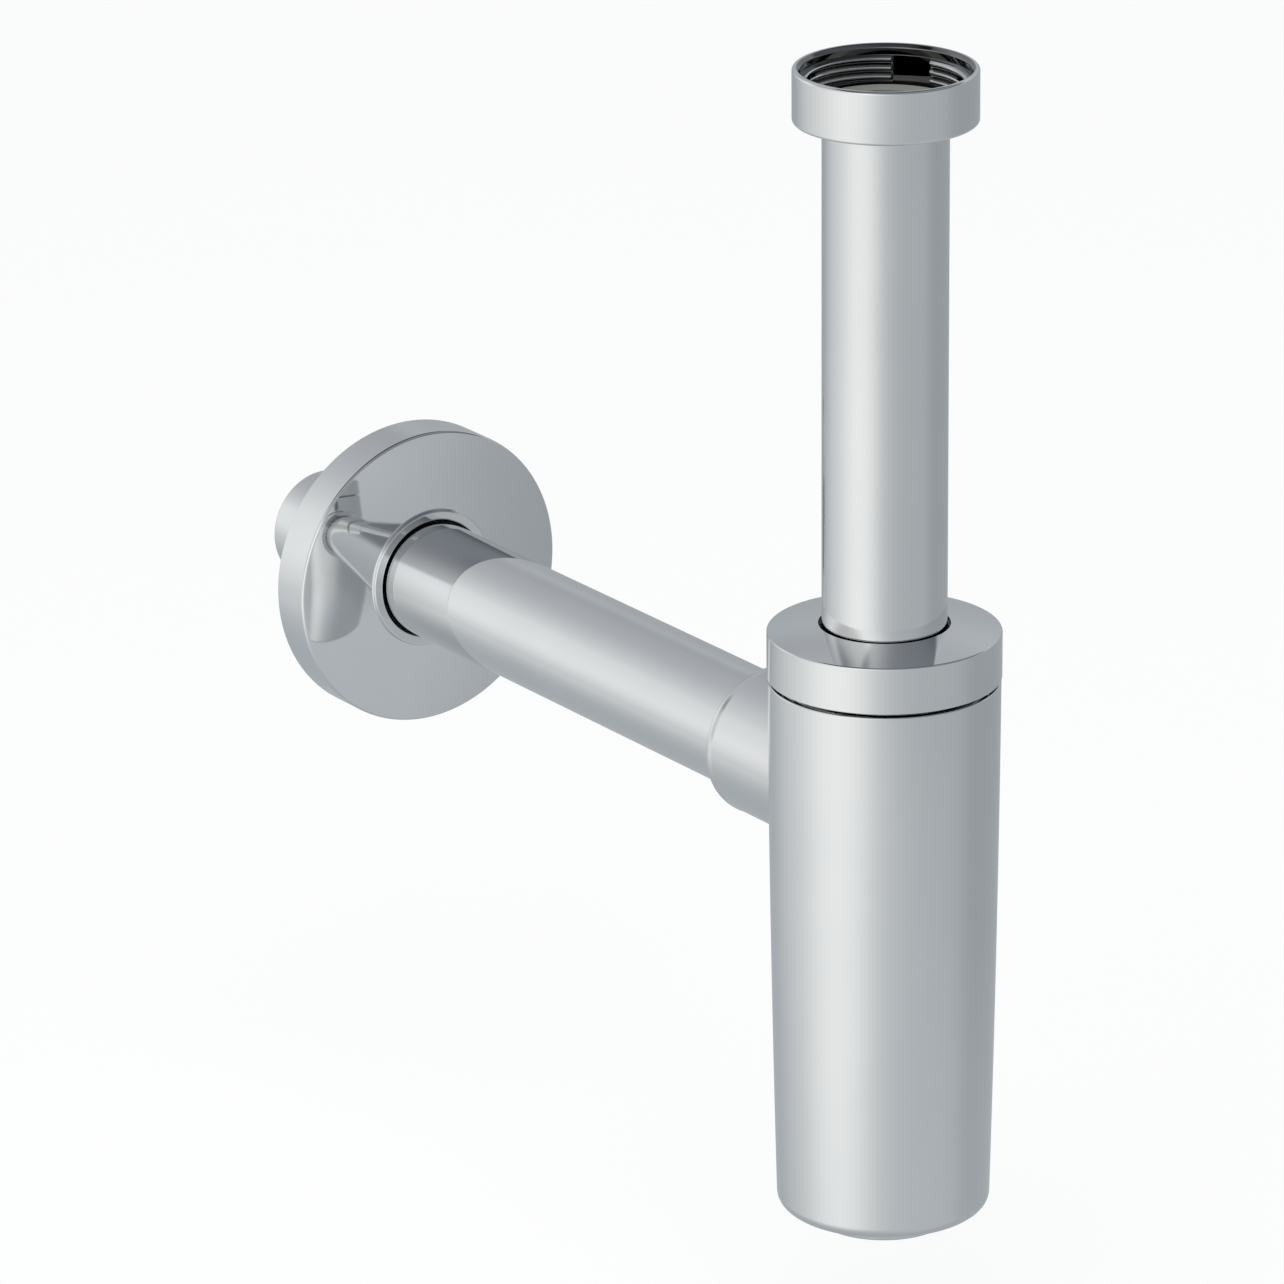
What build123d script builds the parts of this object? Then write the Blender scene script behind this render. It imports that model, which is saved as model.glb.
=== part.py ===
from build123d import *
import math
import os

# Chromed bottle trap for a wash basin, in millimetres.
# Z is up along the dip tube, and Y points from the bottle to the wall.
# The origin is the centre of the inlet washer's top face, where the basin waste seats.

# Tubes, both of the 32 mm plumbing size
TUBE_R = 16.0
TUBE_WALL = 1.6
TUBE_END_CHAMFER = 0.5
SLIDE_CLEAR = 0.05  # a rubber ring on the tube that it grips
LOOSE_CLEAR = 0.3  # a rigid wall round a tube that slides in it
BORE_R = TUBE_R - TUBE_WALL

# Inlet thread, G 1 1/4: the nut is bored to the minor radius, and its ridges are left to the visual model
THREAD_MAJOR_R = 20.95
THREAD_MINOR_R = 19.5
THREAD_LENGTH = 7.0
THREAD_SLOT_WIDTH = 10.0  # axial slots that break the moulded thread
THREAD_SLOT_COUNT = 3
THREAD_SLOT_TURN = 35.0  # degrees from X to the first slot

# Inlet nut
NUT_R = 23.45
NUT_MOUTH_DEPTH = 2.8  # smooth mouth above the thread
NUT_MOUTH_CLEAR = 0.35  # round the waste's thread
NUT_MOUTH_CHAMFER = 0.9
NUT_FLOOR = 1.5
NUT_HOLE_CLEAR = 0.5
NUT_EDGE = 0.8

# Inlet washer and the dip tube's flange
WASHER_THICK = 1.5
WASHER_EDGE = 0.25
FLANGE_THICK = 1.0
FLANGE_CLEAR = 0.3  # inside the thread, so that the tube can be pushed up through the nut
FLANGE_FILLET = 0.4
DIP_TUBE_LENGTH = 256.5  # flange's top face to the lower end

# Neck nut, the cap on the bottle
CAP_TOP_Z = -138.2  # at the cap's edge
CAP_CROWN = 2.1  # rise of the top face from its edge to the hole
CAP_R = 30.0
CAP_HEIGHT = 12.3
CAP_PLATE = 2.5
CAP_HOLE_R = 16.8
CAP_TOP_EDGE = 0.5
CAP_LOW_EDGE = 0.3
CAP_THREAD_CLEAR = 0.3

# Slip ring and tapered neck seal
SLIP_RING_THICK = 1.2
SLIP_RING_R = 23.5
SEAL_HEIGHT = 7.5
SEAL_TOP_R = 22.4
SEAL_LOW_R = 19.0
SEAL_EDGE = 0.5
SEAL_SEAT_CLEAR = 0.3

# Bottle neck
GROOVE_GAP = 0.9  # shadow gap between cap and bottle
NECK_R = 25.8  # root of the neck's thread
NECK_THREAD_DEPTH = 1.2
NECK_TOP_GAP = 0.5  # slip ring to neck
NECK_LIP_R = 18.0

# Bottle
BOTTLE_TOP_R = 29.8
BOTTLE_MID_R = 29.0
BOTTLE_LOW_R = 27.5
BOTTLE_HEIGHT = 144.2  # shoulder to the flat underside
BOTTLE_WALL = 2.4
BOTTLE_FLOOR = 2.8
BOTTLE_TOP_EDGE = 0.4
BOTTLE_LOW_EDGE = 3.6
CHAMBER_EDGE = 1.5

# Clean-out plug and its ring
PLUG_HOLE_R = 15.4
PLUG_BOSS_WALL = 1.6  # outside the ring's seat
PLUG_BOSS_HEIGHT = 5.2  # above the bottle's floor
PLUG_CLEAR = 0.5
PLUG_LENGTH = 8.0  # spigot above the flange
PLUG_WALL = 2.2
PLUG_FLANGE_R = 18.5
PLUG_FLANGE_THICK = 3.5
PLUG_FLANGE_GAP = 0.3
PLUG_EDGE = 1.2
PLUG_SLOT_WIDTH = 3.0
PLUG_SLOT_LENGTH = 24.0
PLUG_SLOT_DEPTH = 1.8
O_RING_D = 1.8
O_RING_CLEAR = 0.3

# Outlet socket on the bottle, and its lip seal
OUTLET_DROP = 31.6  # shoulder to the outlet's axis
SOCKET_R = 19.8
SOCKET_REACH = 51.2  # bottle's axis to the socket's mouth
SOCKET_EDGE = 1.4
SOCKET_STOP = 30.0  # bottle's axis to the stop for the tube
SOCKET_PORT_R = 14.6
SEAL_GROOVE_R = 18.1
SEAL_GROOVE_WIDTH = 4.6
SEAL_GROOVE_LIP = 3.2  # wall in front of the groove
OUTLET_SEAL_GAP = 0.3
OUTLET_SEAL_LIP = 0.4  # share of the seal's height that its lips take

# Outlet tube
OUTLET_TUBE_START = 36.0
OUTLET_TUBE_LENGTH = 229.2
INSERT_LENGTH = 38.2  # end that goes into the wall, up to its turned mark
MARK_WIDTH = 0.8
MARK_DEPTH = 0.3

# Wall rosette and its grip ring
ROSETTE_FRONT = 209.9  # bottle's axis to the front face, at the collar
ROSETTE_CROWN = 0.9  # how far the front face falls back to its edge
ROSETTE_R = 41.3
ROSETTE_DEPTH = 13.5
ROSETTE_WALL = 1.6
ROSETTE_EDGE = 0.9
COLLAR_R = 19.2
COLLAR_PROUD = 1.3
COLLAR_GAP = 0.6  # between collar and tube
COLLAR_EDGE = 0.5
COLLAR_LIP = 1.6  # collar in front of the grip ring's groove
GRIP_RING_WIDTH = 3.6
GRIP_RING_HEIGHT = 1.5
GRIP_RING_GAP = 0.3
COLLAR_BACK_LIP = 1.2

# Heights worked out from the sizes above
NUT_TOP_Z = THREAD_LENGTH + NUT_MOUTH_DEPTH
FLANGE_TOP_Z = -WASHER_THICK
NUT_FLOOR_Z = FLANGE_TOP_Z - FLANGE_THICK
FLANGE_R = THREAD_MINOR_R - FLANGE_CLEAR
DIP_TUBE_END_Z = FLANGE_TOP_Z - DIP_TUBE_LENGTH
CAP_UNDER_Z = CAP_TOP_Z - CAP_PLATE
CAP_LOW_Z = CAP_TOP_Z - CAP_HEIGHT
CAP_BORE_R = NECK_R + NECK_THREAD_DEPTH + CAP_THREAD_CLEAR
SEAL_TOP_Z = CAP_UNDER_Z - SLIP_RING_THICK
SEAL_LOW_Z = SEAL_TOP_Z - SEAL_HEIGHT
NECK_TOP_Z = SEAL_TOP_Z - NECK_TOP_GAP
LIP_TOP_Z = SEAL_LOW_Z - SEAL_SEAT_CLEAR
SHOULDER_Z = CAP_LOW_Z - GROOVE_GAP
BOTTLE_LOW_Z = SHOULDER_Z - BOTTLE_HEIGHT
BOTTLE_FLOOR_Z = BOTTLE_LOW_Z + BOTTLE_FLOOR
ARM_Z = SHOULDER_Z - OUTLET_DROP
CHAMBER_TOP_Z = SHOULDER_Z - BOTTLE_WALL
PLUG_FLANGE_Z = BOTTLE_LOW_Z - PLUG_FLANGE_GAP
PLUG_R = PLUG_HOLE_R - PLUG_CLEAR
O_RING_SEAT_R = PLUG_R + O_RING_D + 2 * O_RING_CLEAR
O_RING_SEAT_Z = PLUG_FLANGE_Z + O_RING_D + 2 * O_RING_CLEAR
O_RING_Z = PLUG_FLANGE_Z + O_RING_CLEAR + O_RING_D / 2
PLUG_BOSS_R = O_RING_SEAT_R + PLUG_BOSS_WALL
PLUG_BOSS_TOP_Z = BOTTLE_FLOOR_Z + PLUG_BOSS_HEIGHT
GROOVE_END = SOCKET_REACH - SEAL_GROOVE_LIP
GROOVE_START = GROOVE_END - SEAL_GROOVE_WIDTH
OUTLET_TUBE_END = OUTLET_TUBE_START + OUTLET_TUBE_LENGTH
MARK_END = OUTLET_TUBE_END - INSERT_LENGTH
COLLAR_FRONT = ROSETTE_FRONT - COLLAR_PROUD
COLLAR_BORE_R = TUBE_R + COLLAR_GAP
ROSETTE_BACK = ROSETTE_FRONT + ROSETTE_DEPTH
GRIP_R = TUBE_R + GRIP_RING_HEIGHT
GRIP_GROOVE_R = GRIP_R + GRIP_RING_GAP
GRIP_GROOVE_START = COLLAR_FRONT + COLLAR_LIP
GRIP_GROOVE_END = GRIP_GROOVE_START + GRIP_RING_WIDTH + 2 * GRIP_RING_GAP
COLLAR_BACK = GRIP_GROOVE_END + COLLAR_BACK_LIP

PAST = 1.0  # how far a cut runs past the face that it opens


def closed_outline(points):
    """Flat half section in the XZ plane; a point is (radius, height) with an optional corner rounding."""
    corners = [Vector(point[0], 0, point[1]) for point in points]
    face = make_face(Polyline(*corners, close=True))
    return rounded(face, [(corner, point[2]) for corner, point in zip(corners, points) if len(point) > 2])


def rounded(face, corners):
    """Rounds the corners of a flat section, each given as its place and radius."""
    for place, radius in corners:
        vertex = face.vertices().sort_by_distance(place)[0]
        face = fillet(vertex, radius)
    return face


def crown(outer, inner, edge, rise):
    """Middle corner of a face that rises inwards as a shallow dome: its end tangents meet there."""
    dome_r = (outer ** 2 - inner ** 2) / (2 * rise)
    middle = (outer + inner) / 2
    return (middle, edge + (outer - middle) * outer / dome_r, 0.85 * abs(dome_r))


def turned(points):
    """Solid turned about Z from the corners of its half section."""
    return revolve(closed_outline(points), Axis.Z)


def turned_on_arm(points):
    """Solid turned about the outlet's axis; a point is (radius, distance from the bottle's axis)."""
    return Location((0, 0, ARM_Z), (-90, 0, 0)) * turned(points)


def ring(inner, outer, low, high, edge):
    """Corners of a rectangular ring section with all its edges rounded."""
    return [(inner, low, edge), (outer, low, edge), (outer, high, edge), (inner, high, edge)]


def arm_cylinder(radius, start, end):
    """Plain cylinder on the outlet's axis, between two distances from the bottle's axis."""
    place = Location((0, start, ARM_Z), (-90, 0, 0))
    return place * Cylinder(radius, end - start, align=(Align.CENTER, Align.CENTER, Align.MIN))


def inlet_nut():
    """Union nut: smooth mouth, thread in three stretches with slots between, and a floor under the flange."""
    mouth_r = THREAD_MAJOR_R + NUT_MOUTH_CLEAR
    hole_r = TUBE_R + NUT_HOLE_CLEAR
    low_z = NUT_FLOOR_Z - NUT_FLOOR
    shell = turned([
        (hole_r, low_z),
        (NUT_R, low_z, NUT_EDGE),
        (NUT_R, NUT_TOP_Z, NUT_EDGE),
        (mouth_r + NUT_MOUTH_CHAMFER, NUT_TOP_Z, NUT_EDGE / 4),
        (mouth_r, NUT_TOP_Z - NUT_MOUTH_CHAMFER),
        (mouth_r, THREAD_LENGTH),
        (THREAD_MAJOR_R, THREAD_LENGTH),
        (THREAD_MAJOR_R, NUT_FLOOR_Z),
        (hole_r, NUT_FLOOR_Z),
    ])
    wall_r = (THREAD_MAJOR_R + NUT_R) / 2
    lands = Cylinder(wall_r, THREAD_LENGTH, align=(Align.CENTER, Align.CENTER, Align.MIN))
    lands -= Cylinder(THREAD_MINOR_R, THREAD_LENGTH, align=(Align.CENTER, Align.CENTER, Align.MIN))
    slot = Box(wall_r + 1, THREAD_SLOT_WIDTH, THREAD_LENGTH, align=(Align.MIN, Align.CENTER, Align.MIN))
    for index in range(THREAD_SLOT_COUNT):
        turn = THREAD_SLOT_TURN + index * 360 / THREAD_SLOT_COUNT
        lands -= Rot(0, 0, turn) * slot
    return shell + lands


def inlet_washer():
    """Flat washer on the dip tube's flange, under the waste's end."""
    return turned(ring(BORE_R, FLANGE_R, FLANGE_TOP_Z, 0, WASHER_EDGE))


def dip_tube():
    """Straight tube with a flange at its top that hangs on the nut's floor."""
    return turned([
        (BORE_R, DIP_TUBE_END_Z),
        (TUBE_R, DIP_TUBE_END_Z, TUBE_END_CHAMFER),
        (TUBE_R, NUT_FLOOR_Z, FLANGE_FILLET),
        (FLANGE_R, NUT_FLOOR_Z),
        (FLANGE_R, FLANGE_TOP_Z),
        (BORE_R, FLANGE_TOP_Z),
    ])


def neck_nut():
    """Cap that screws onto the bottle's neck and clamps the seal round the tube."""
    return turned([
        (CAP_HOLE_R, CAP_UNDER_Z),
        (CAP_BORE_R, CAP_UNDER_Z),
        (CAP_BORE_R, CAP_LOW_Z),
        (CAP_R, CAP_LOW_Z, CAP_LOW_EDGE),
        (CAP_R, CAP_TOP_Z, CAP_TOP_EDGE),
        crown(CAP_R, CAP_HOLE_R, CAP_TOP_Z, CAP_CROWN),
        (CAP_HOLE_R, CAP_TOP_Z + CAP_CROWN, CAP_TOP_EDGE / 2),
    ])


def slip_ring():
    """Thin stiff ring that lets the cap turn on the seal."""
    inner = TUBE_R + LOOSE_CLEAR
    return turned(ring(inner, SLIP_RING_R, SEAL_TOP_Z, CAP_UNDER_Z, SLIP_RING_THICK / 5))


def neck_seal():
    """Tapered rubber ring in the neck's funnel."""
    inner = TUBE_R + SLIDE_CLEAR
    return turned([
        (inner, SEAL_LOW_Z, SEAL_EDGE),
        (SEAL_LOW_R, SEAL_LOW_Z, SEAL_EDGE),
        (SEAL_TOP_R, SEAL_TOP_Z, SEAL_EDGE),
        (inner, SEAL_TOP_Z, SEAL_EDGE),
    ])


def bottle_r(z):
    """Outside radius of the bottle at a height: a shallow curve through its top, middle and low radii."""
    share = (SHOULDER_Z - z) / BOTTLE_HEIGHT
    straight = BOTTLE_TOP_R + (BOTTLE_LOW_R - BOTTLE_TOP_R) * share
    bulge = BOTTLE_MID_R - (BOTTLE_TOP_R + BOTTLE_LOW_R) / 2
    return straight + 4 * bulge * share * (1 - share)


def bottle_side(inset, top_z, low_z):
    """Curve down the bottle's side between two heights, set in from the outside."""
    heights = (top_z, (top_z + low_z) / 2, low_z)
    return ThreePointArc(*[(bottle_r(z) - inset, 0, z) for z in heights])


def bottle_outside():
    """Bottle with its neck, filled in."""
    side = bottle_side(0, SHOULDER_Z, BOTTLE_LOW_Z)
    rest = Polyline(
        side @ 1,
        (0, 0, BOTTLE_LOW_Z),
        (0, 0, NECK_TOP_Z),
        (NECK_R, 0, NECK_TOP_Z),
        (NECK_R, 0, SHOULDER_Z),
        side @ 0,
    )
    section = rounded(make_face(side + rest), [
        (side @ 1, BOTTLE_LOW_EDGE),
        (side @ 0, BOTTLE_TOP_EDGE),
        (Vector(NECK_R, 0, NECK_TOP_Z), BOTTLE_TOP_EDGE),
    ])
    return revolve(section, Axis.Z)


def bottle_inside():
    """Space in the bottle: the seal's funnel, the lip under it, the chamber and the clean-out opening."""
    slope = (SEAL_TOP_R - SEAL_LOW_R) / SEAL_HEIGHT
    clear = SEAL_SEAT_CLEAR * math.hypot(1, slope)
    mouth_z = NECK_TOP_Z + PAST
    under_z = BOTTLE_LOW_Z - PAST
    side = bottle_side(BOTTLE_WALL, CHAMBER_TOP_Z, BOTTLE_FLOOR_Z)
    rest = Polyline(
        side @ 1,
        (PLUG_BOSS_R, 0, BOTTLE_FLOOR_Z),
        (PLUG_BOSS_R, 0, PLUG_BOSS_TOP_Z),
        (PLUG_HOLE_R, 0, PLUG_BOSS_TOP_Z),
        (PLUG_HOLE_R, 0, O_RING_SEAT_Z),
        (O_RING_SEAT_R, 0, O_RING_SEAT_Z),
        (O_RING_SEAT_R, 0, under_z),
        (0, 0, under_z),
        (0, 0, mouth_z),
        (SEAL_TOP_R + clear + slope * (mouth_z - SEAL_TOP_Z), 0, mouth_z),
        (SEAL_LOW_R + clear - slope * SEAL_SEAT_CLEAR, 0, LIP_TOP_Z),
        (NECK_LIP_R, 0, LIP_TOP_Z),
        (NECK_LIP_R, 0, CHAMBER_TOP_Z),
        side @ 0,
    )
    section = rounded(make_face(side + rest), [
        (side @ 0, CHAMBER_EDGE),
        (side @ 1, BOTTLE_LOW_EDGE - BOTTLE_WALL),
    ])
    return revolve(section, Axis.Z)


def outlet_socket():
    """Boss for the outlet tube, filled in, from the bottle's wall out to its rounded mouth."""
    return turned_on_arm([
        (0, SOCKET_PORT_R),
        (SOCKET_R, SOCKET_PORT_R),
        (SOCKET_R, SOCKET_REACH, SOCKET_EDGE),
        (0, SOCKET_REACH),
    ])


def socket_inside():
    """Way through the socket: port in the bottle's wall, stop for the tube, bore and groove for the lip seal."""
    bore_r = TUBE_R + LOOSE_CLEAR
    way = arm_cylinder(SOCKET_PORT_R, 0, SOCKET_STOP + PAST)
    way += arm_cylinder(bore_r, SOCKET_STOP, SOCKET_REACH + PAST)
    way += arm_cylinder(SEAL_GROOVE_R, GROOVE_START, GROOVE_END)
    return way


def bottle_body():
    """One moulding: neck with the seal's funnel, tapered bottle, outlet socket and clean-out opening."""
    body = bottle_outside() + outlet_socket()
    return body - bottle_inside() - socket_inside()


def clean_out_plug():
    """Cup-shaped screw plug with a flange outside the bottle and a slot for a coin."""
    top_z = PLUG_FLANGE_Z + PLUG_LENGTH
    low_z = PLUG_FLANGE_Z - PLUG_FLANGE_THICK
    cup_r = PLUG_R - PLUG_WALL
    plug = turned([
        (0, low_z),
        (PLUG_FLANGE_R, low_z, PLUG_EDGE),
        (PLUG_FLANGE_R, PLUG_FLANGE_Z, PLUG_EDGE / 4),
        (PLUG_R, PLUG_FLANGE_Z),
        (PLUG_R, top_z, PLUG_EDGE / 2),
        (cup_r, top_z),
        (cup_r, PLUG_FLANGE_Z, PLUG_EDGE / 2),
        (0, PLUG_FLANGE_Z),
    ])
    coin = SlotOverall(PLUG_SLOT_LENGTH, PLUG_SLOT_WIDTH)
    return plug - extrude(Pos(0, 0, low_z) * coin, PLUG_SLOT_DEPTH)


def plug_o_ring():
    """Round rubber ring in the seat round the clean-out opening."""
    return Pos(0, 0, O_RING_Z) * Torus(PLUG_R + O_RING_CLEAR + O_RING_D / 2, O_RING_D / 2)


def outlet_seal():
    """Lip seal in the socket's groove, round the outlet tube."""
    inner = TUBE_R + SLIDE_CLEAR
    outer = SEAL_GROOVE_R - OUTLET_SEAL_GAP
    start = GROOVE_START + OUTLET_SEAL_GAP
    end = GROOVE_END - OUTLET_SEAL_GAP
    lip = (outer - inner) * OUTLET_SEAL_LIP
    return turned_on_arm([
        (inner, start, SEAL_EDGE / 2),
        (outer, start, SEAL_EDGE / 2),
        (outer, end, SEAL_EDGE / 2),
        (outer - lip, end),
        (inner + lip, start + 2 * lip),
        (inner, end - lip),
    ])


def outlet_tube():
    """Straight tube from the socket through the rosette, with a turned mark where its end enters the wall."""
    mark_r = TUBE_R - MARK_DEPTH
    return turned_on_arm([
        (BORE_R, OUTLET_TUBE_START),
        (TUBE_R, OUTLET_TUBE_START, TUBE_END_CHAMFER),
        (TUBE_R, MARK_END - MARK_WIDTH),
        (mark_r, MARK_END - MARK_WIDTH),
        (mark_r, MARK_END),
        (TUBE_R, MARK_END),
        (TUBE_R, OUTLET_TUBE_END, TUBE_END_CHAMFER),
        (BORE_R, OUTLET_TUBE_END),
    ])


def rosette():
    """Hollow wall cover with a collar round the tube, grooved inside for its grip ring."""
    face_edge = ROSETTE_FRONT + ROSETTE_CROWN
    inside_r = ROSETTE_R - ROSETTE_WALL
    return turned_on_arm([
        (COLLAR_BORE_R, COLLAR_FRONT, COLLAR_EDGE),
        (COLLAR_R, COLLAR_FRONT, COLLAR_EDGE),
        (COLLAR_R, ROSETTE_FRONT, COLLAR_EDGE),
        crown(ROSETTE_R, COLLAR_R, face_edge, -ROSETTE_CROWN),
        (ROSETTE_R, face_edge, ROSETTE_EDGE),
        (ROSETTE_R, ROSETTE_BACK),
        (inside_r, ROSETTE_BACK),
        (inside_r, face_edge + ROSETTE_WALL, ROSETTE_EDGE),
        crown(inside_r, COLLAR_R, face_edge + ROSETTE_WALL, -ROSETTE_CROWN),
        (COLLAR_R, ROSETTE_FRONT + ROSETTE_WALL, COLLAR_EDGE),
        (COLLAR_R, COLLAR_BACK),
        (COLLAR_BORE_R, COLLAR_BACK),
        (COLLAR_BORE_R, GRIP_GROOVE_END),
        (GRIP_GROOVE_R, GRIP_GROOVE_END),
        (GRIP_GROOVE_R, GRIP_GROOVE_START),
        (COLLAR_BORE_R, GRIP_GROOVE_START),
    ])


def rosette_ring():
    """Rubber ring that grips the tube inside the rosette's collar."""
    start = GRIP_GROOVE_START + GRIP_RING_GAP
    return turned_on_arm(ring(TUBE_R + SLIDE_CLEAR, GRIP_R, start, start + GRIP_RING_WIDTH, SEAL_EDGE))


PIECES = {
    "inlet_nut": inlet_nut,
    "inlet_washer": inlet_washer,
    "dip_tube": dip_tube,
    "neck_nut": neck_nut,
    "slip_ring": slip_ring,
    "neck_seal": neck_seal,
    "bottle_body": bottle_body,
    "clean_out_plug": clean_out_plug,
    "plug_o_ring": plug_o_ring,
    "outlet_seal": outlet_seal,
    "outlet_tube": outlet_tube,
    "rosette": rosette,
    "rosette_ring": rosette_ring,
}

os.makedirs("parts", exist_ok=True)
for name, make in PIECES.items():
    export_step(make(), f"parts/{name}.step")
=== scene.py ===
import logging
import math
from dataclasses import dataclass, replace
from enum import Enum
from typing import Sequence

import bpy
import numpy as np
from mathutils import Matrix, Vector


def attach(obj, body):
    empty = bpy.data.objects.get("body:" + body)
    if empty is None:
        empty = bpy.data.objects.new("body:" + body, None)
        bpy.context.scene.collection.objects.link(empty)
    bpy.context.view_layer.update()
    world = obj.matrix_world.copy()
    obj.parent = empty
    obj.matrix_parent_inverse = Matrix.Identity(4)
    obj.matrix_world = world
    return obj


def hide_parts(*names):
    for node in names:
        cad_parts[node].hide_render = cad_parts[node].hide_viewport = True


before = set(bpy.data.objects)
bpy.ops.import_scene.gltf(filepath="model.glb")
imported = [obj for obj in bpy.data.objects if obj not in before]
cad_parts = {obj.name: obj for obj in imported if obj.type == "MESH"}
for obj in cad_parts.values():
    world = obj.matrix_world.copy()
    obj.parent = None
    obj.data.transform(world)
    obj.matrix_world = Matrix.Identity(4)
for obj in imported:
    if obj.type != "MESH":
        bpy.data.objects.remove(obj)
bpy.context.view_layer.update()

# Looks of a chromed bottle trap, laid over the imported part.
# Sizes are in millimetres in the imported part's frame: Z is up along the dip tube, Y points to the wall,
# and the origin is the centre of the inlet washer's top face.

MM = 0.001
WELD = 1e-4
ARM_Z = -183.0
TUBE_R = 16.0
BORE_R = 14.4
GRIP_R = 16.05

# Roundings of edges, from the sharpest to the softest

FINE = 0.1
CRISP = 0.2
PLAIN = 0.3
ROUND = 0.4
SOFT = 0.5

log = logging.getLogger("bottle_trap")


class Spindle(Enum):
    """Axis that a piece is turned about."""

    UPRIGHT = "upright"
    ARM = "arm"

    def lean(self, outwards: np.ndarray, along: np.ndarray, angle: np.ndarray) -> np.ndarray:
        """Directions with an outward share, at an angle round the axis, and a share along it.

        Upright: x and y are the outward share times the angle's cosine and sine, and z is the share along.
        Arm: x and z are those, and y is the share along.

        Args:
            outwards: shares away from the axis.
            along: shares along the axis.
            angle: angles round the axis, in radians.

        Returns:
            Directions with x, y and z in the last dimension.
        """
        outwards, along, angle = np.broadcast_arrays(outwards, along, angle)
        across, aside = outwards * np.cos(angle), outwards * np.sin(angle)
        parts = [across, aside, along] if self is Spindle.UPRIGHT else [across, along, aside]
        return np.stack(parts, axis=-1)

    def place(self, radius: np.ndarray, along: np.ndarray, angle: np.ndarray) -> np.ndarray:
        """Points at a radius, a distance and an angle; the arm's axis lies at the outlet's height."""
        height = 0.0 if self is Spindle.UPRIGHT else ARM_Z
        return self.lean(radius, along, angle) + np.array([0.0, 0.0, height])


class Slot(Enum):
    """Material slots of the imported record."""

    CHROME = "chrome"
    WASHER = "washer_rubber"
    BLACK_RUBBER = "black_rubber"
    PLASTIC = "white_plastic"


@dataclass(frozen=True)
class Thread:
    """Moulded thread on a round wall, with axial slots where the mould leaves them."""

    pitch: float
    depth: float
    crest_along: float
    fade: float
    row: float = 0.1
    slots: int = 0
    slot_width: float = 0.0
    slot_turn: float = 0.0
    slot_r: float = 20.5
    slot_soft: float = 0.25

    def rise(self, along: np.ndarray, angle: np.ndarray) -> np.ndarray:
        """How far the thread stands off its wall.

        The ridge is a cosine of the phase, round at root and crest. The phase is the distance along the axis
        less one pitch a turn, so the ridge climbs as a right-hand helix. It fades in and out over the ends of
        the wall and stops at the sides of each slot.

        Args:
            along: distances along the axis.
            angle: angles round the axis, in radians.

        Returns:
            Heights above the wall, from 0 to the thread's depth.
        """
        phase = (along - self.crest_along) / self.pitch - angle / (2 * math.pi)
        ridge = 0.5 + 0.5 * np.cos(2 * math.pi * phase)
        low, high = along.min(), along.max()
        ridge = ridge * eased((along - low) / self.fade) * eased((high - along) / self.fade)
        if self.slots:
            step = 2 * math.pi / self.slots
            turn = (angle - math.radians(self.slot_turn) + step / 2) % step - step / 2
            ridge = ridge * eased((np.abs(turn) * self.slot_r - self.slot_width / 2) / self.slot_soft)
        return self.depth * ridge


@dataclass(frozen=True)
class Corner:
    """Corner of a turned section: its place, the rounding of its edge and the thread on the wall after it."""

    radius: float
    along: float
    rounding: float = 0.0
    thread: Thread | None = None

    @property
    def spot(self) -> np.ndarray:
        """Radius and distance along the axis as one array."""
        return np.array([self.radius, self.along])


def eased(share: np.ndarray) -> np.ndarray:
    """Smooth step: 0 below 0, 1 above 1, and three times the square less twice the cube in between."""
    share = np.clip(share, 0.0, 1.0)
    return share * share * (3.0 - 2.0 * share)


def even_angles(columns: int) -> np.ndarray:
    """Angles evenly spaced round a circle, from 0."""
    return np.arange(columns) * (2 * math.pi / columns)


def right_of(direction: np.ndarray) -> np.ndarray:
    """Direction turned a quarter to the right, which is outwards on a section drawn anticlockwise."""
    return np.array([direction[1], -direction[0]])


def grid_normals(points: np.ndarray) -> np.ndarray:
    """Unit normals of a grid of points whose last column joins the first.

    Each is the cross product of the step down the rows and the step along the columns.

    Args:
        points: grid of points, rows by columns by three.

    Returns:
        Unit normals on the same grid, all on one side of the surface.
    """
    down = np.gradient(points, axis=0)
    across = np.roll(points, -1, axis=1) - np.roll(points, 1, axis=1)
    normals = np.cross(down, across)
    return normals / np.linalg.norm(normals, axis=-1, keepdims=True)


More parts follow.
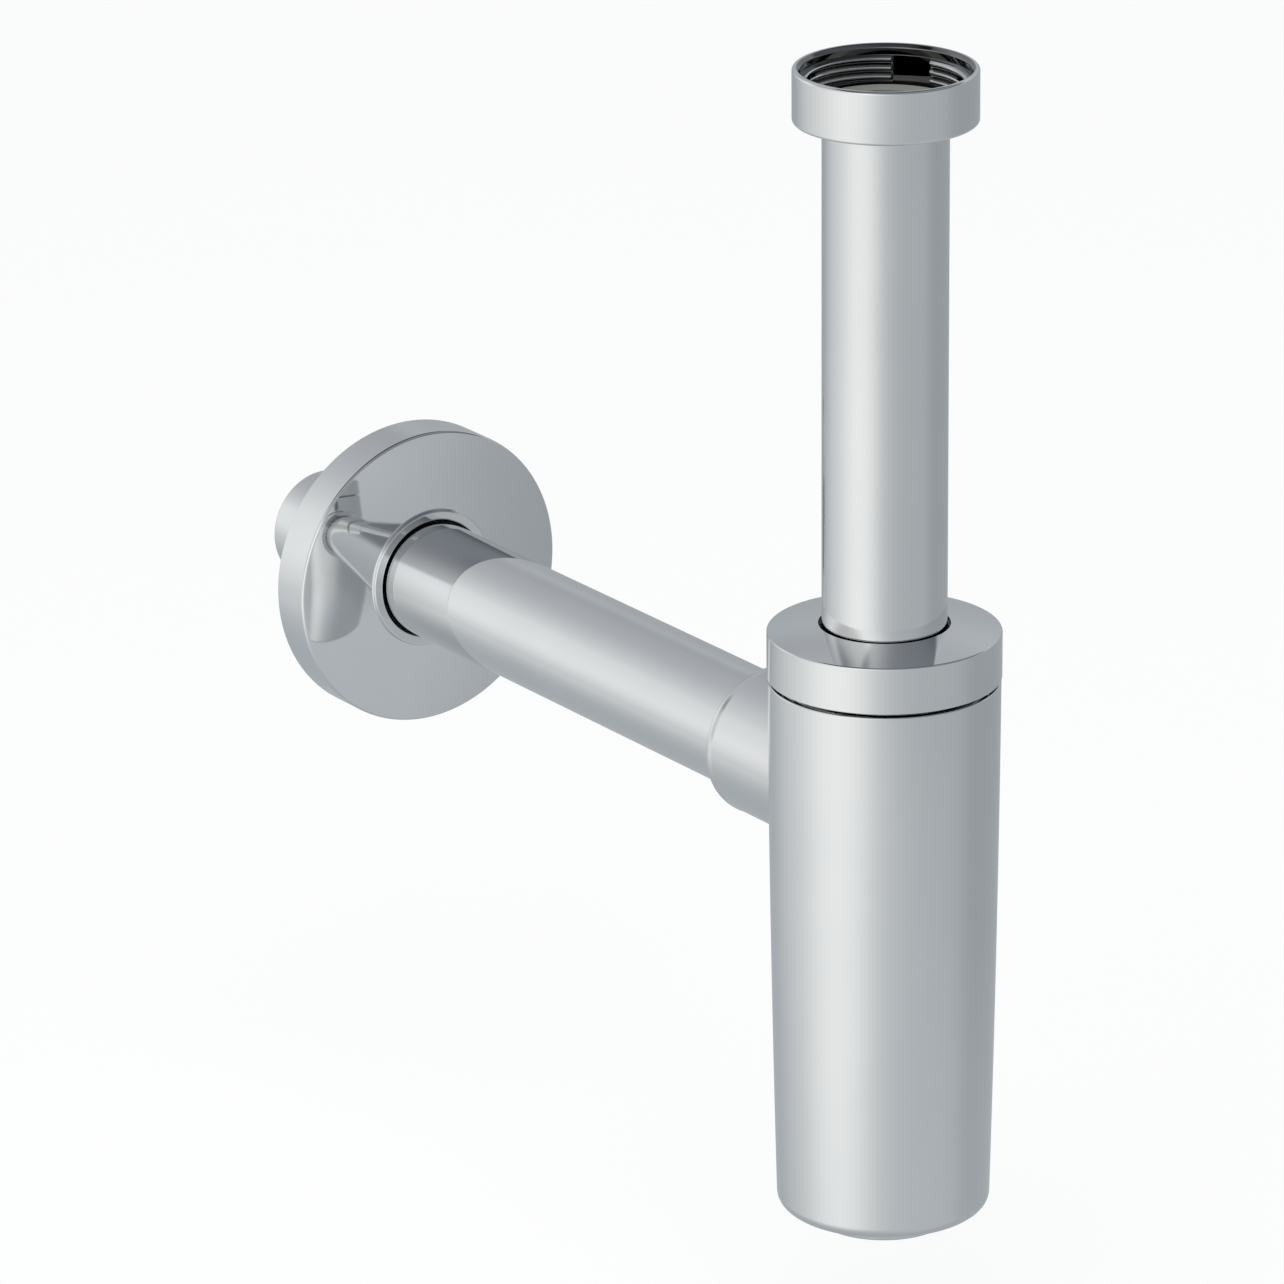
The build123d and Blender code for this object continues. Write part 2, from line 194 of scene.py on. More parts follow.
class Skin:
    """Closed surface gathered from grids of points that carry their own exact normals."""

    def __init__(self) -> None:
        """Starts with no surface."""
        self.points: list[np.ndarray] = []
        self.normals: list[np.ndarray] = []
        self.triangles: list[np.ndarray] = []
        self.count = 0

    def add(self, points: np.ndarray, normals: np.ndarray, keep: np.ndarray | None = None) -> None:
        """Adds a grid, whose last column joins the first, as two triangles a cell.

        Args:
            points: grid of points in millimetres, rows by columns by three.
            normals: unit normals on the same grid, pointing out of the material.
            keep: which cells to fill, rows less one by columns, or None for all.
        """
        rows, columns = points.shape[:2]
        row, column = np.meshgrid(np.arange(rows - 1), np.arange(columns), indexing="ij")
        beside = (column + 1) % columns
        corners = np.stack([
            row * columns + column,
            row * columns + beside,
            (row + 1) * columns + beside,
            (row + 1) * columns + column,
        ], axis=-1)
        if keep is not None:
            corners = corners[keep]
        corners = corners.reshape(-1, 4) + self.count
        self.triangles.append(np.concatenate([corners[:, [0, 1, 2]], corners[:, [0, 2, 3]]]))
        self.points.append(points.reshape(-1, 3))
        self.normals.append(normals.reshape(-1, 3))
        self.count += rows * columns

    def mesh(self, name: str) -> bpy.types.Mesh:
        """Welds the grids into one mesh whose corners keep the grids' normals.

        Points closer than the weld distance become one, triangles that shrink to a line go, and each triangle
        is turned so that its own normal agrees with the sum of its corners' normals.

        Args:
            name: name of the mesh.

        Returns:
            The mesh, in metres.
        """
        points, normals = np.concatenate(self.points), np.concatenate(self.normals)
        triangles = np.concatenate(self.triangles)
        keys = np.round(points / WELD).astype(np.int64)
        first, same = np.unique(keys, axis=0, return_index=True, return_inverse=True)[1:]
        welded = same.reshape(-1)[triangles]
        full = (welded != np.roll(welded, 1, axis=1)).all(axis=1)
        triangles, welded = triangles[full], welded[full]
        spots = points[first]
        a, b, c = (spots[welded[:, corner]] for corner in range(3))
        flat = np.cross(b - a, c - a)
        wrong = np.einsum("ij,ij->i", flat, normals[triangles].sum(axis=1)) < 0
        triangles[wrong] = triangles[wrong][:, ::-1]
        welded[wrong] = welded[wrong][:, ::-1]
        mesh = bpy.data.meshes.new(name)
        mesh.vertices.add(len(spots))
        mesh.vertices.foreach_set("co", (spots * MM).astype(np.float32).ravel())
        mesh.loops.add(3 * len(welded))
        mesh.loops.foreach_set("vertex_index", welded.astype(np.int32).ravel())
        mesh.polygons.add(len(welded))
        mesh.polygons.foreach_set("loop_start", np.arange(0, 3 * len(welded), 3, dtype=np.int32))
        mesh.update(calc_edges=True)
        mesh.validate()
        mesh.polygons.foreach_set("use_smooth", np.ones(len(welded), dtype=bool))
        mesh.normals_split_custom_set(normals[triangles].reshape(-1, 3).astype(np.float32))
        mesh.update()
        return mesh


@dataclass(frozen=True)
class Bow:
    """Face whose plating shades as if bowed more than it is: its place, and its normals' lean at each end."""

    inner: float
    outer: float
    front: float
    behind: float
    lean_in: float
    lean_out: float

    def bend(self, points: np.ndarray, normals: np.ndarray) -> np.ndarray:
        """Normals in the section's plane, bent on this face only.

        The outward share runs straight from one value at the inner radius to another at the outer one, and
        the share along the axis keeps its sign and makes the length one.

        Args:
            points: radii and distances along the axis.
            normals: unit normals at them.

        Returns:
            The normals, bent where the point is on the face.
        """
        radius, along = points[:, 0], points[:, 1]
        in_ring = (radius >= self.inner) & (radius <= self.outer)
        on_face = in_ring & (along >= self.front) & (along <= self.behind)
        share = (radius - self.inner) / (self.outer - self.inner)
        outwards = self.lean_in + (self.lean_out - self.lean_in) * share
        bent = np.stack([outwards, np.sign(normals[:, 1]) * np.sqrt(1.0 - outwards ** 2)], axis=-1)
        return np.where(on_face[:, None], bent, normals)


@dataclass
class TurnedSection:
    """Section that is turned about an axis, drawn anticlockwise."""

    corners: Sequence[Corner]
    spindle: Spindle = Spindle.UPRIGHT
    columns: int = 256
    arc_steps: int = 7
    closed: bool = True
    bowed: Bow | None = None

    def turned_corner(self, index: int) -> tuple[np.ndarray, np.ndarray]:
        """Points and normals of the arc that rounds a corner.

        The arc's normal swings evenly from the incoming wall's normal to the outgoing one's, and each point
        is the arc's centre plus its radius times that normal, or less it where the corner is hollow.

        Args:
            index: number of the corner.

        Returns:
            Points and normals of the arc, or of a sharp corner twice its spot with the normals of its walls.
        """
        count = len(self.corners)
        here = self.corners[index]
        before, after = self.corners[index - 1].spot, self.corners[(index + 1) % count].spot
        inward, onward = here.spot - before, after - here.spot
        if not self.closed and index in (0, count - 1):
            inward = onward = onward if index == 0 else inward
        inward, onward = inward / np.linalg.norm(inward), onward / np.linalg.norm(onward)
        first, last = right_of(inward), right_of(onward)
        if here.rounding == 0.0:
            return np.array([here.spot, here.spot]), np.array([first, last])
        turn = math.atan2(inward[0] * onward[1] - inward[1] * onward[0], float(inward @ onward))
        start = here.spot - inward * here.rounding * math.tan(abs(turn) / 2)
        side = math.copysign(1.0, turn)
        swing = math.atan2(first[1], first[0]) + np.linspace(0.0, turn, self.arc_steps)
        normals = np.stack([np.cos(swing), np.sin(swing)], axis=-1)
        return start + side * here.rounding * (normals - first), normals

    def add_to(self, skin: Skin, bearing: np.ndarray | None = None) -> None:
        """Turns the section into a skin, one grid for each wall and each rounded corner.

        Args:
            skin: the skin that takes the grids.
            bearing: angles of the columns, or None for even ones.
        """
        angle = even_angles(self.columns) if bearing is None else bearing
        angle = angle[None, :]
        arcs = [self.turned_corner(index) for index in range(len(self.corners))]
        for index, (corner, (points, normals)) in enumerate(zip(self.corners, arcs)):
            if corner.rounding:
                self.add_run(skin, points, normals, angle)
            if not self.closed and index == len(arcs) - 1:
                break
            wall = np.array([points[-1], arcs[(index + 1) % len(arcs)][0][0]])
            if np.linalg.norm(wall[1] - wall[0]) < WELD:
                continue
            if corner.thread is None:
                self.add_run(skin, wall, np.array([normals[-1], normals[-1]]), angle)
            else:
                self.add_thread(skin, wall, math.copysign(1.0, normals[-1][0]), corner.thread, angle)

    def add_run(self, skin: Skin, points: np.ndarray, normals: np.ndarray, angle: np.ndarray) -> None:
        """Turns a line of points with its normals round the axis, bent where the section has a bowed face."""
        if self.bowed is not None:
            normals = self.bowed.bend(points, normals)
        grid = self.spindle.place(points[:, :1], points[:, 1:], angle)
        skin.add(grid, self.spindle.lean(normals[:, :1], normals[:, 1:], angle))

    def add_thread(self, skin: Skin, wall: np.ndarray, side: float, thread: Thread,
                   angle: np.ndarray) -> None:
        """Turns a straight wall whose radius swells by the thread's rise on its outward side.

        Args:
            skin: the skin that takes the grid.
            wall: radius and distance at both ends of the wall.
            side: 1 where the wall faces away from the axis and -1 where it faces it.
            thread: the thread on the wall.
            angle: angles of the columns.
        """
        start, end = wall[:, 1]
        rows = round(abs(end - start) / thread.row)
        along = np.linspace(start, end, rows)[:, None]
        grid = self.spindle.place(wall[0, 0] + side * thread.rise(along, angle), along, angle)
        normals = grid_normals(grid)
        outwards = self.spindle.lean(side, 0.0, angle)
        skin.add(grid, normals * np.sign((normals * outwards).sum(axis=-1).mean()))


class NodeSheet:
    """Short words for adding shader nodes to one tree; an input takes a socket, a number or a colour."""

    def __init__(self, tree: bpy.types.NodeTree) -> None:
        """Works on a node tree that is empty."""
        self.tree = tree

    @classmethod
    def cleared(cls, owner: bpy.types.Material | bpy.types.World) -> "NodeSheet":
        """Turns on the nodes of a material or a world, and empties them."""
        owner.use_nodes = True
        owner.node_tree.nodes.clear()
        return cls(owner.node_tree)

    def node(self, kind: str, given: dict | None = None, **settings: object) -> bpy.types.Node:
        """Adds a node, sets its properties and then its inputs.

        Args:
            kind: type of the node.
            given: what its inputs take, by their names or numbers.
            settings: values of its properties.

        Returns:
            The node.
        """
        made = self.tree.nodes.new(kind)
        for name, value in settings.items():
            setattr(made, name, value)
        for name, value in (given or {}).items():
            if isinstance(value, bpy.types.NodeSocket):
                self.tree.links.new(value, made.inputs[name])
            else:
                made.inputs[name].default_value = value
        return made

    def math(self, operation: str, first: object, second: object = 0.0) -> bpy.types.NodeSocket:
        """Works on one or two numbers."""
        return self.node("ShaderNodeMath", {0: first, 1: second}, operation=operation).outputs[0]

    def vector(self, operation: str, given: dict, output: str = "Vector") -> bpy.types.NodeSocket:
        """Works on vectors; a length or a dot product comes out as Value."""
        return self.node("ShaderNodeVectorMath", given, operation=operation).outputs[output]

    def mix(self, share: object, first: object, second: object) -> bpy.types.NodeSocket:
        """Mixes two colours by a share of the second."""
        return self.node("ShaderNodeMix", {0: share, 6: first, 7: second}, data_type="RGBA").outputs[2]

    def noise(self, scale: object, detail: float) -> bpy.types.NodeSocket:
        """Soft noise in space, fixed to the object."""
        spot = self.node("ShaderNodeTexCoord").outputs["Object"]
        return self.node("ShaderNodeTexNoise", {"Vector": spot, "Scale": scale, "Detail": detail}).outputs[0]

    def spread(self, value: object, source: tuple, target: tuple,
               form: str = "LINEAR") -> bpy.types.NodeSocket:
        """Maps the stretch between two values onto the stretch between two others.

        Args:
            value: the number to map.
            source: the two values that it runs between.
            target: the two values that they become.
            form: LINEAR, or SMOOTHSTEP for soft ends.

        Returns:
            The mapped number.
        """
        ends = dict(zip(("From Min", "From Max", "To Min", "To Max"), (*source, *target)))
        return self.node("ShaderNodeMapRange", {"Value": value, **ends}, interpolation_type=form).outputs[0]


@dataclass(frozen=True)
class SurfaceMarks:
    """Shared effect: faint clouds for wiped polish or bloom, and a fine height for orange peel or grain."""

    cloud_detail: float = 3.0
    grain_detail: float = 2.0
    cloud_stretch: tuple[float, float] = (0.35, 0.7)
    cloud_height: float = 0.1

    def group(self) -> bpy.types.ShaderNodeTree:
        """Builds the effect.

        Clouds are a soft noise stretched between two levels. The height is a finer noise plus a small part of
        the clouds.

        Returns:
            The node group, with inputs for both scales and the clouds' two levels.
        """
        made = bpy.data.node_groups.new("surface_marks", "ShaderNodeTree")
        for name in ("Cloud Scale", "Grain Scale", "Low", "High"):
            made.interface.new_socket(name, in_out="INPUT", socket_type="NodeSocketFloat")
        for name in ("Clouds", "Height"):
            made.interface.new_socket(name, in_out="OUTPUT", socket_type="NodeSocketFloat")
        sheet = NodeSheet(made)
        given = sheet.node("NodeGroupInput").outputs
        clouds = sheet.noise(given["Cloud Scale"], self.cloud_detail)
        grain = sheet.noise(given["Grain Scale"], self.grain_detail)
        levels = sheet.spread(clouds, self.cloud_stretch, (given["Low"], given["High"]), "SMOOTHSTEP")
        height = sheet.math("ADD", grain, sheet.math("MULTIPLY", clouds, self.cloud_height))
        sheet.node("NodeGroupOutput", {"Clouds": levels, "Height": height})
        return made


@dataclass(frozen=True)
class PaintedRecessShade:
    """Painted shade in a hollow round the upright axis, between two radii and above a low end."""

    inner: float
    outer: float
    low: float
    inner_soft: float
    outer_soft: float
    shade: float

    def share(self, sheet: NodeSheet) -> bpy.types.NodeSocket:
        """Share of the painted shade: 1 in the hollow and 0 beyond it, with soft steps at both radii.

        Args:
            sheet: the material's nodes.

        Returns:
            The share.
        """
        spot = sheet.node("ShaderNodeTexCoord").outputs["Object"]
        level = sheet.vector("MULTIPLY", {0: spot, 1: (1.0, 1.0, 0.0)})
        reach = sheet.vector("LENGTH", {0: level}, "Value")
        height = sheet.node("ShaderNodeSeparateXYZ", {0: spot}).outputs["Z"]
        # Painted shade mask: the hollow is the thread roots, which are darkened as if shade fell in them.
        share = sheet.math("GREATER_THAN", height, self.low * MM)
        steps = ((self.inner, self.inner_soft, (0.0, 1.0)), (self.outer, self.outer_soft, (1.0, 0.0)))
        for radius, soft, levels in steps:
            ends = ((radius - soft) * MM, (radius + soft) * MM)
            share = sheet.math("MULTIPLY", share, sheet.spread(reach, ends, levels, "SMOOTHSTEP"))
        return share


@dataclass(frozen=True)
class Finish:
    """Procedural finish of one kind of surface."""

    name: str
    colour: tuple[float, float, float]
    shade: tuple[float, float, float]
    roughness: tuple[float, float]
    cloud_scale: float
    grain_scale: float
    grain_height: float
    metallic: float = 0.0
    specular: float = 0.5
    # Painted shade that darkens the colour in a hollow, or None.
    painted_shade: PaintedRecessShade | None = None

    def material(self, marks: bpy.types.ShaderNodeTree) -> bpy.types.Material:
        """Builds the material.

        The clouds of the shared marks run between the two roughnesses and mix the colour towards its shade,
        and the marks' height feeds the bump. Where there is painted shade the colour goes on to a part of the
        shade.

        Args:
            marks: the shared node group.

        Returns:
            The material.
        """
        made = bpy.data.materials.new(self.name)
        sheet = NodeSheet.cleared(made)
        levels = dict(zip(("Low", "High"), self.roughness))
        scales = {"Cloud Scale": self.cloud_scale, "Grain Scale": self.grain_scale}
        effect = sheet.node("ShaderNodeGroup", {**levels, **scales}, node_tree=marks).outputs
        share = sheet.spread(effect["Clouds"], self.roughness, (0.0, 1.0))
        colour = sheet.mix(share, (*self.colour, 1.0), (*self.shade, 1.0))
        # Painted shade: inside the hollow the colour darkens to a part of the shade.
        if self.painted_shade is not None:
            painted_shade_colour = (self.painted_shade.shade * part for part in self.shade)
            colour = sheet.mix(self.painted_shade.share(sheet), colour, (*painted_shade_colour, 1.0))
        bump = {"Distance": self.grain_height * MM, "Height": effect["Height"]}
        shader = sheet.node("ShaderNodeBsdfPrincipled", {
            "Base Color": colour,
            "Metallic": self.metallic,
            "Roughness": effect["Clouds"],
            "Specular IOR Level": self.specular,
            "Normal": sheet.node("ShaderNodeBump", bump).outputs[0],
        })
        sheet.node("ShaderNodeOutputMaterial", {"Surface": shader.outputs[0]})
        return made


FINISHES = {
    Slot.CHROME: Finish(
        "polished_chrome", (0.765, 0.773, 0.781), (0.745, 0.755, 0.766), roughness=(0.03, 0.06),
        cloud_scale=28.0, grain_scale=260.0, grain_height=0.0006, metallic=1.0,
    ),
    Slot.WASHER: Finish(
        "beige_rubber", (0.55, 0.54, 0.48), (0.5, 0.49, 0.43), roughness=(0.5, 0.65),
        cloud_scale=90.0, grain_scale=2400.0, grain_height=0.02, specular=0.4,
    ),
    Slot.BLACK_RUBBER: Finish(
        "black_rubber", (0.018, 0.018, 0.019), (0.03, 0.03, 0.031), roughness=(0.45, 0.62),
        cloud_scale=120.0, grain_scale=2600.0, grain_height=0.02, specular=0.4,
    ),
    Slot.PLASTIC: Finish(
        "white_moulded_plastic", (0.7, 0.71, 0.7), (0.64, 0.65, 0.65), roughness=(0.32, 0.42),
        cloud_scale=60.0, grain_scale=1500.0, grain_height=0.012,
    ),
}

# Chrome of the nut with painted shade: the thread's roots are darkened in the colour, as if shade fell in
# them.
THREAD_CHROME_WITH_PAINTED_SHADE = replace(
    FINISHES[Slot.CHROME],
    name="chrome_with_painted_thread_shade",
    painted_shade=PaintedRecessShade(inner=20.2, outer=22.35, low=-3.2, inner_soft=0.4, outer_soft=0.15, shade=0.3),
)


def in_scene(name: str, data: bpy.types.ID) -> bpy.types.Object:
    """Object with that name and data, linked into the scene."""
    made = bpy.data.objects.new(name, data)
    bpy.context.scene.collection.objects.link(made)
    return made


class Workshop:
    """Makes finished pieces from skins, and keeps the materials."""

    def __init__(self) -> None:
        """Builds the shared marks and one material for each slot."""
        self.marks = SurfaceMarks().group()
        self.materials = {slot: finish.material(self.marks) for slot, finish in FINISHES.items()}

    def piece(self, name: str, skin: Skin, body: str, node: str, slot: Slot,
              finish: Finish | None = None) -> bpy.types.Object:
        """Turns a skin into a piece that rides on a body and stands for a node.

        Args:
            name: name of the piece.
            skin: its surface.
            body: the body that it moves with.
            node: the node that it stands for.
            slot: the material slot that it takes its finish from.
            finish: a finish of its own, in place of the slot's.

        Returns:
            The piece.
        """
        made = in_scene(name, skin.mesh(name))
        made.data.materials.append(self.materials[slot] if finish is None else finish.material(self.marks))
        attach(made, body)
        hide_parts(node)
        log.info("%s: %d triangles on %s", name, len(made.data.polygons), body)
        return made

    def turned(self, name: str, section: TurnedSection, body: str, node: str, slot: Slot,
               finish: Finish | None = None) -> bpy.types.Object:
        """Turns one section into a finished piece."""
        skin = Skin()
        section.add_to(skin)
        return self.piece(name, skin, body, node, slot, finish)


def ring_section(radii: tuple[float, float], ends: tuple[float, float], edge: float,
                 spindle: Spindle = Spindle.UPRIGHT) -> TurnedSection:
    """Rectangular ring section with all its edges rounded.

    Args:
        radii: inner and outer radius.
        ends: where it starts and ends along the axis.
        edge: rounding of the edges.
        spindle: the axis that it is turned about.

    Returns:
        The section.
    """
    (inner, outer), (low, high) = radii, ends
    spots = ((inner, low), (outer, low), (outer, high), (inner, high))
    return TurnedSection([Corner(radius, along, edge) for radius, along in spots], spindle)


@dataclass
class InletUnion:
    """Union nut with its interrupted thread, the flat washer and the flanged dip tube."""

    nut_r: float = 23.45
    nut_top: float = 9.8
    nut_low: float = -4.0
    nut_floor: float = -2.5
    nut_edge: float = 0.8
    hole_r: float = 16.5
    mouth_r: float = 21.3
    mouth_edge: float = 0.95
    mouth_root: float = 0.6
    chamfer: float = 0.9
    major_r: float = 20.95
    thread_top: float = 7.0
    thread_low: float = 0.0
    flange_r: float = 19.2
    flange_top: float = -1.5
    washer_top: float = 0.0
    washer_edge: float = 0.25
    tube_end: float = -258.0
    thread: Thread = Thread(
        pitch=2.309, depth=1.45, crest_along=1.4, fade=0.35, slots=3, slot_width=10.0, slot_turn=35.0,
    )

    def nut(self) -> TurnedSection:
        """Nut's section; its threaded wall runs down from the mouth's step."""
        corners = [
            Corner(self.hole_r, self.nut_low, CRISP),
            Corner(self.nut_r, self.nut_low, self.nut_edge),
            Corner(self.nut_r, self.nut_top, self.nut_edge),
            Corner(self.mouth_r + self.chamfer, self.nut_top, self.mouth_edge),
            Corner(self.mouth_r, self.nut_top - self.chamfer, self.mouth_root),
            Corner(self.mouth_r, self.thread_top),
            Corner(self.major_r, self.thread_top, thread=self.thread),
            Corner(self.major_r, self.thread_low),
            Corner(self.major_r, self.nut_floor),
            Corner(self.hole_r, self.nut_floor),
        ]
        return TurnedSection(corners, columns=576)

    def tube(self) -> TurnedSection:
        """Dip tube's section, with the flange that hangs on the nut's floor."""
        corners = [
            Corner(BORE_R, self.tube_end, CRISP),
            Corner(TUBE_R, self.tube_end, SOFT),
            Corner(TUBE_R, self.nut_floor, ROUND),
            Corner(self.flange_r, self.nut_floor, CRISP),
            Corner(self.flange_r, self.flange_top, CRISP),
            Corner(BORE_R, self.flange_top, CRISP),
        ]
        return TurnedSection(corners, columns=320)

    def build(self, shop: Workshop) -> None:
        """Makes the nut, the washer and the dip tube."""
        # The nut's chrome has painted shade darkening its thread roots.
        shop.turned("threaded_inlet_nut", self.nut(), "inlet_nut", "inlet_nut", Slot.CHROME, THREAD_CHROME_WITH_PAINTED_SHADE)
        washer = ring_section((BORE_R, self.flange_r), (self.flange_top, self.washer_top), self.washer_edge)
        shop.turned("flat_inlet_washer", washer, "inlet_washer", "inlet_washer", Slot.WASHER)
        shop.turned("plated_dip_tube", self.tube(), "dip_tube", "dip_tube", Slot.CHROME)


@dataclass
class NeckClamp:
    """Cap on the bottle's neck, crowned on top, with the slip ring and the tapered seal that it presses."""

    top: float = -138.2
    low: float = -150.5
    under: float = -140.7
    outer_r: float = 30.0
    hole_r: float = 16.8
    hole_top: float = -136.1
    hole_edge: float = 0.25
    bore_r: float = 27.3
    crown: Corner = Corner(23.4, -136.854, 125.0)
    ring_low: float = -141.9
    ring_radii: tuple[float, float] = (16.3, 23.5)
    ring_edge: float = 0.24
    seal_low: float = -149.4
    seal_low_r: float = 19.0
    seal_top_r: float = 22.4
    thread: Thread = Thread(pitch=2.3, depth=1.1, crest_along=1.15, fade=1.2)

    def cap(self) -> TurnedSection:
        """Cap's section; the thread runs down the bore."""
        corners = [
            Corner(self.hole_r, self.under, CRISP),
            Corner(self.bore_r, self.under, PLAIN, self.thread),
            Corner(self.bore_r, self.low, PLAIN),
            Corner(self.outer_r, self.low, PLAIN),
            Corner(self.outer_r, self.top, SOFT),
            self.crown,
            Corner(self.hole_r, self.hole_top, self.hole_edge),
        ]
        return TurnedSection(corners, columns=384)

    def seal(self) -> TurnedSection:
        """Tapered seal's section."""
        corners = [
            Corner(GRIP_R, self.seal_low, SOFT),
            Corner(self.seal_low_r, self.seal_low, SOFT),
            Corner(self.seal_top_r, self.ring_low, SOFT),
            Corner(GRIP_R, self.ring_low, SOFT),
        ]
        return TurnedSection(corners)

    def build(self, shop: Workshop) -> None:
        """Makes the cap, the slip ring and the seal."""
        shop.turned("plated_neck_cap", self.cap(), "neck_nut", "neck_nut", Slot.CHROME)
        ring = ring_section(self.ring_radii, (self.ring_low, self.under), self.ring_edge)
        shop.turned("stiff_slip_ring", ring, "slip_ring", "slip_ring", Slot.PLASTIC)
        shop.turned("tapered_neck_seal", self.seal(), "neck_seal", "neck_seal", Slot.BLACK_RUBBER)


@dataclass(frozen=True)
class Taper:
    """Bottle's tapered side, slightly bowed out."""

    top: float = -151.4
    low: float = -295.6
    top_r: float = 29.8
    low_r: float = 27.5
    bow: float = 1.4

    def share(self, along: np.ndarray) -> np.ndarray:
        """How far down the side a height lies: 0 at the top and 1 at the low end."""
        return (self.top - along) / (self.top - self.low)

    def radius(self, along: np.ndarray) -> np.ndarray:
        """Radius at a height: a straight taper plus a parabola, which adds a quarter of the bow half way."""
        share = self.share(along)
        return self.top_r - (self.top_r - self.low_r) * share + self.bow * share * (1.0 - share)

    def slope(self, along: np.ndarray) -> np.ndarray:
        """Growth of the radius with the height, from the radius's own formula."""
        fall = self.top_r - self.low_r
        return (fall - self.bow * (1.0 - 2.0 * self.share(along))) / (self.top - self.low)


@dataclass
class HoledWall:
    """Side of the bottle, outside or inside, with a round hole where the outlet socket meets it.

    The side is a grid of columns round the axis and rows down it. A window in that grid round the socket is
    left out, and a ring of cells fills it, from the window's edge to the hole.
    """

    taper: Taper
    top: float
    low: float
    hole_r: float
    inset: float = 0.0
    outside: bool = True
    columns: int = 240
    half_columns: int = 40
    half_height: float = 25.0
    row_steps: tuple[int, int, int] = (4, 24, 33)
    ring_rows: int = 12

    def radius(self, along: np.ndarray) -> np.ndarray:
        """Taper's radius at a height, less the inset."""
        return self.taper.radius(along) - self.inset

    def normal(self, along: np.ndarray, angle: np.ndarray) -> np.ndarray:
        """Unit normal: outwards by one and down by the taper's slope, or the opposite for an inside."""
        slope = self.taper.slope(along)
        length = np.hypot(1.0, slope) * (1.0 if self.outside else -1.0)
        return Spindle.UPRIGHT.lean(1.0 / length, -slope / length, angle)

    def heights(self) -> np.ndarray:
        """Heights of the rows, from the top down: above, beside and below the window."""
        stops = (self.top, ARM_Z + self.half_height, ARM_Z - self.half_height, self.low)
        spans = zip(stops, stops[1:], self.row_steps)
        runs = [np.linspace(start, end, steps + 1)[1:] for start, end, steps in spans]
        return np.concatenate([[self.top], *runs])

    def grow(self, skin: Skin) -> tuple[np.ndarray, np.ndarray]:
        """Adds the wall and gives the hole's edge.

        Each point of the window's edge is joined to the point of the hole that lies in the same direction
        from the outlet's axis, and the cells between are spaced evenly in angle and height.

        Args:
            skin: the skin that takes the wall.

        Returns:
            Directions of the hole's points round the outlet's axis, and the points themselves.
        """
        heights, angle = self.heights(), even_angles(self.columns)
        first, centre = self.row_steps[0], self.columns // 4
        last = first + self.row_steps[1]
        left, right = centre - self.half_columns, centre + self.half_columns
        keep = np.ones((len(heights) - 1, self.columns), dtype=bool)
        keep[first:last, left:right] = False
        self.add_sheet(skin, heights[:, None], angle[None, :], keep)
        across, down = np.arange(left, right), np.arange(first, last)
        columns = [across, np.full(len(down), right), across[::-1] + 1, np.full(len(down), left)]
        rows = [np.full(len(across), first), down, np.full(len(across), last), down[::-1] + 1]
        edge_angle, edge_along = angle[np.concatenate(columns)], heights[np.concatenate(rows)]
        edge_x = self.radius(edge_along) * np.cos(edge_angle)
        bearing = np.arctan2(edge_along - ARM_Z, edge_x)
        hole_x, hole_along = self.hole_r * np.cos(bearing), ARM_Z + self.hole_r * np.sin(bearing)
        hole_angle = np.arccos(hole_x / self.radius(hole_along))
        share = np.linspace(0.0, 1.0, self.ring_rows)[:, None]
        ring_along = hole_along + (edge_along - hole_along) * share
        self.add_sheet(skin, ring_along, hole_angle + (edge_angle - hole_angle) * share)
        return bearing, Spindle.UPRIGHT.place(self.radius(hole_along), hole_along, hole_angle)

    def add_sheet(self, skin: Skin, along: np.ndarray, angle: np.ndarray,
                  keep: np.ndarray | None = None) -> None:
        """Adds a stretch of the wall, from the heights and angles of its grid."""
        skin.add(Spindle.UPRIGHT.place(self.radius(along), along, angle), self.normal(along, angle), keep)


